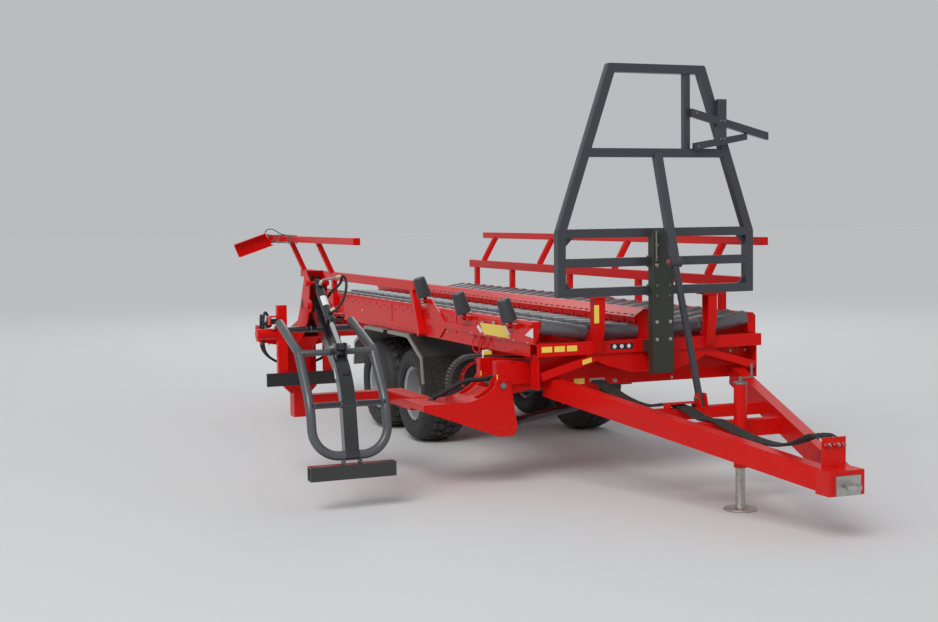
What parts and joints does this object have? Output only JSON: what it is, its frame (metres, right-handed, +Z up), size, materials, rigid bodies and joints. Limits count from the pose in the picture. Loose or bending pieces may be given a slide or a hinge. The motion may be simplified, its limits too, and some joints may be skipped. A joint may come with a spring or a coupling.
{
  "type": "self-loading round bale trailer with bale grab",
  "caption": "Towed farm trailer with a roller bed that loads its own round bales: a side arm with a clamping bale grab lifts them onto the bed.",
  "frame": {"origin": "middle of the parking foot's underside, on the ground and on the trailer's centre line", "axes": "+X to the left of the direction of travel, +Y to the rear, +Z up"},
  "size_m": [4.89, 10.922, 3.836],
  "materials": {
    "red_paint": "gloss",
    "black_paint": "gloss",
    "anthracite_paint": "satin",
    "roller_plastic": "satin",
    "tyre_rubber": "matte",
    "chrome_rod": "polished",
    "bright_steel": "brushed",
    "zinc_sheet": "matt zinc",
    "lamp_plastic": "gloss",
    "hose_rubber": "matt"
  },
  "bodies": {
    "chassis": {"axle_front": "anthracite_paint", "axle_rear": "anthracite_paint", "bogie": "red_paint", "cone_base": "red_paint", "cones": "roller_plastic", "divider": "red_paint", "drag_chain": "roller_plastic", "drawbar": "red_paint", "front_beam": "red_paint", "guard_wing": "red_paint", "headboard": "anthracite_paint", "headboard_bracket": "anthracite_paint", "headboard_mast": "anthracite_paint", "keels": "red_paint", "knuckle": "red_paint", "knuckle_pins": "bright_steel", "leg_tube": "red_paint", "main_frame": "red_paint", "mudflaps": "hose_rubber", "mudguard_left": "zinc_sheet", "mudguard_right": "zinc_sheet", "rear_lamps": "lamp_plastic", "rollers_left": "roller_plastic", "rollers_right": "roller_plastic", "side_frame_left": "red_paint", "side_frame_right": "red_paint", "side_rail_left": "red_paint", "side_rail_right": "red_paint", "sign_plate": "red_paint", "towing_eye": "bright_steel"},
    "wheel_front_right": {"rim_front_right": "anthracite_paint", "tyre_front_right": "tyre_rubber"},
    "wheel_front_left": {"rim_front_left": "anthracite_paint", "tyre_front_left": "tyre_rubber"},
    "wheel_rear_right": {"rim_rear_right": "anthracite_paint", "tyre_rear_right": "tyre_rubber"},
    "wheel_rear_left": {"rim_rear_left": "anthracite_paint", "tyre_rear_left": "tyre_rubber"},
    "parking_leg": {"parking_leg": "bright_steel"},
    "loading_arm": {"arm": "red_paint", "reach_beam": "red_paint", "tower": "red_paint", "tower_pins": "bright_steel"},
    "lift_barrel": {"lift_barrel": "black_paint"},
    "lift_rod": {"lift_rod": "chrome_rod"},
    "front_jaw": {"front_jaw": "black_paint"},
    "clamp_barrel": {"clamp_barrel": "black_paint"},
    "clamp_rod": {"clamp_rod": "chrome_rod"},
    "rear_jaw": {"rear_jaw": "red_paint"},
    "rear_barrel": {"rear_barrel": "black_paint"},
    "rear_rod": {"rear_rod": "chrome_rod"}
  },
  "joints": [
    {"name": "wheel_front_right_spin", "type": "hinge", "parent": "chassis", "child": "wheel_front_right", "pos_m": [-0.95, 4.7, 0.53], "axis": [1, 0, 0], "continuous": true},
    {"name": "wheel_front_left_spin", "type": "hinge", "parent": "chassis", "child": "wheel_front_left", "pos_m": [0.95, 4.7, 0.53], "axis": [1, 0, 0], "continuous": true},
    {"name": "wheel_rear_right_spin", "type": "hinge", "parent": "chassis", "child": "wheel_rear_right", "pos_m": [-0.95, 5.9, 0.53], "axis": [1, 0, 0], "continuous": true},
    {"name": "wheel_rear_left_spin", "type": "hinge", "parent": "chassis", "child": "wheel_rear_left", "pos_m": [0.95, 5.9, 0.53], "axis": [1, 0, 0], "continuous": true},
    {"name": "parking_leg_slide", "type": "slide", "parent": "chassis", "child": "parking_leg", "axis": [0, 0, 1], "range_m": [0, 0.3]},
    {"name": "arm_lift", "type": "hinge", "parent": "chassis", "child": "loading_arm", "pos_m": [-1.4, 1.972, 0.945], "axis": [0, 1, 0], "range_deg": [0, 100]},
    {"name": "lift_barrel_tilt", "type": "hinge", "parent": "chassis", "child": "lift_barrel", "pos_m": [-0.4, 1.972, 0.7], "axis": [0, 1, 0], "range_deg": [0, 19.72]},
    {"name": "lift_rod_slide", "type": "slide", "parent": "lift_barrel", "child": "lift_rod", "axis": [-0.9854, 0, -0.1704], "range_m": [0, 0.49613]},
    {"name": "front_jaw_swing", "type": "hinge", "parent": "loading_arm", "child": "front_jaw", "pos_m": [-2.95, 2.3, 1.7], "axis": [1, 0, 0], "range_deg": [-50, 4]},
    {"name": "clamp_barrel_tilt", "type": "hinge", "parent": "loading_arm", "child": "clamp_barrel", "pos_m": [-2.95, 2.33, 1.9], "axis": [1, 0, 0], "range_deg": [-44.72, 3.76]},
    {"name": "clamp_rod_slide", "type": "slide", "parent": "clamp_barrel", "child": "clamp_rod", "axis": [0, -0.7783, -0.6279], "range_m": [-0.15739, 0.01489]},
    {"name": "rear_jaw_swing", "type": "hinge", "parent": "loading_arm", "child": "rear_jaw", "pos_m": [-2.95, 2.8, 1.42], "axis": [-1, 0, 0], "range_deg": [-12, 0]},
    {"name": "rear_barrel_tilt", "type": "hinge", "parent": "loading_arm", "child": "rear_barrel", "pos_m": [-3.262, 3.17, 1.45], "axis": [-1, 0, 0], "range_deg": [-3.35, 0]},
    {"name": "rear_rod_slide", "type": "slide", "parent": "rear_barrel", "child": "rear_rod", "axis": [0, -0.9822, 0.1881], "range_m": [0, 0.0202]}
  ],
  "couplings": [
    {"joint": "lift_barrel_tilt", "follows": "arm_lift", "ratio": 0.19519},
    {"joint": "lift_rod_slide", "follows": "arm_lift", "m_per_rad": 0.28283},
    {"joint": "clamp_barrel_tilt", "follows": "front_jaw_swing", "ratio": 0.8904},
    {"joint": "clamp_rod_slide", "follows": "front_jaw_swing", "m_per_rad": 0.17749},
    {"joint": "rear_barrel_tilt", "follows": "rear_jaw_swing", "ratio": 0.26205},
    {"joint": "rear_rod_slide", "follows": "rear_jaw_swing", "m_per_rad": -0.0893}
  ]
}
